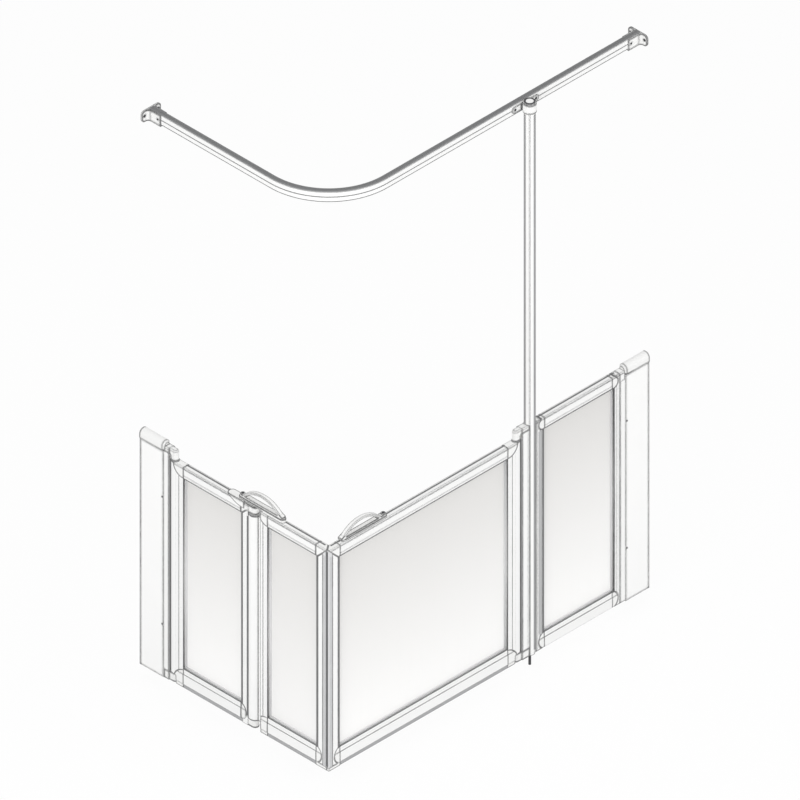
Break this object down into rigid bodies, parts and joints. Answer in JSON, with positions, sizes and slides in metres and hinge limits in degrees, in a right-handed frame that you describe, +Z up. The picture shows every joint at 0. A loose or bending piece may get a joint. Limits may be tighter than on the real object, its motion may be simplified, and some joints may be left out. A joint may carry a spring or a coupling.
{
  "type": "hinged shower screen",
  "caption": "Half-height corner shower screen with a hinged door, a folding door and a fixed panel in white frames, and a curved curtain rail on a support pole.",
  "frame": {"origin": "the support pole's axis at floor level, where its floor stud leaves the pole", "axes": "+Z up, +X along the long side to the right wall, +Y along the short side to the left wall, the outside towards -X and -Y"},
  "size_m": [1.427, 0.8453, 2.162],
  "materials": {
    "white_frame": "satin white powder coat on aluminium",
    "white_moulding": "satin moulded plastic",
    "frosted_panel": "pale grey frosted safety glazing",
    "grey_gasket": "matt grey gasket",
    "grey_seal": "light grey flexible seal",
    "grey_nylon": "grey nylon",
    "steel": "turned stainless steel",
    "dark_steel": "blackened steel"
  },
  "bodies": {
    "frame": {"curtain_rail": "white_frame", "door_hinge_jamb": "white_frame", "door_pivot_brackets": "white_moulding", "door_pivot_pins": "steel", "fixed_panel_bottom_rail": "white_frame", "fixed_panel_corner_blocks": "white_moulding", "fixed_panel_gasket": "grey_gasket", "fixed_panel_glazing": "frosted_panel", "fixed_panel_pole_stile": "white_frame", "fixed_panel_top_rail": "white_frame", "fixed_panel_wall_stile": "white_frame", "left_hinge_jamb": "white_frame", "left_pivot_brackets": "white_moulding", "left_pivot_pins": "steel", "left_post_cap": "white_moulding", "left_rail_bracket": "white_moulding", "left_wall_post": "white_frame", "pole_cap": "white_moulding", "pole_floor_stud": "dark_steel", "pole_rail_clamp": "white_moulding", "right_post_cap": "white_moulding", "right_rail_bracket": "white_moulding", "right_wall_post": "white_frame", "support_pole": "white_frame", "wall_adapter": "white_frame"},
    "first_leaf": {"first_leaf_bottom_rail": "white_frame", "first_leaf_bottom_seal": "grey_seal", "first_leaf_corner_blocks": "white_moulding", "first_leaf_fold_stile": "white_frame", "first_leaf_gasket": "grey_gasket", "first_leaf_glazing": "frosted_panel", "first_leaf_hinge_stile": "white_frame", "first_leaf_pivot_plugs": "grey_nylon", "first_leaf_top_rail": "white_frame", "fold_brackets": "white_moulding", "fold_keeper": "white_moulding", "fold_pivot_pins": "steel"},
    "second_leaf": {"fold_handle": "white_moulding", "second_leaf_bottom_rail": "white_frame", "second_leaf_bottom_seal": "grey_seal", "second_leaf_closing_stile": "white_frame", "second_leaf_corner_blocks": "white_moulding", "second_leaf_gasket": "grey_gasket", "second_leaf_glazing": "frosted_panel", "second_leaf_hinge_bulb": "white_frame", "second_leaf_hinge_stile": "white_frame", "second_leaf_magnet_seal": "grey_seal", "second_leaf_pivot_plugs": "grey_nylon", "second_leaf_top_rail": "white_frame"},
    "door": {"door_bottom_rail": "white_frame", "door_bottom_seal": "grey_seal", "door_closing_stile": "white_frame", "door_corner_blocks": "white_moulding", "door_gasket": "grey_gasket", "door_glazing": "frosted_panel", "door_handle": "white_moulding", "door_hinge_stile": "white_frame", "door_magnet_seal": "grey_seal", "door_pivot_plugs": "grey_nylon", "door_top_rail": "white_frame"}
  },
  "joints": [
    {"name": "door_swing", "type": "hinge", "parent": "frame", "child": "door", "pos_m": [-0.063, 0, 0.4], "axis": [0, 0, 1], "range_deg": [0, 95]},
    {"name": "first_leaf_swing", "type": "hinge", "parent": "frame", "child": "first_leaf", "pos_m": [-0.891, 0.679, 0.4], "axis": [0, 0, -1], "range_deg": [0, 60]},
    {"name": "fold", "type": "hinge", "parent": "first_leaf", "child": "second_leaf", "pos_m": [-0.891, 0.326, 0.4], "axis": [0, 0, -1], "range_deg": [-120, 0]}
  ],
  "couplings": [
    {"joint": "fold", "follows": "first_leaf_swing", "ratio": -2}
  ]
}
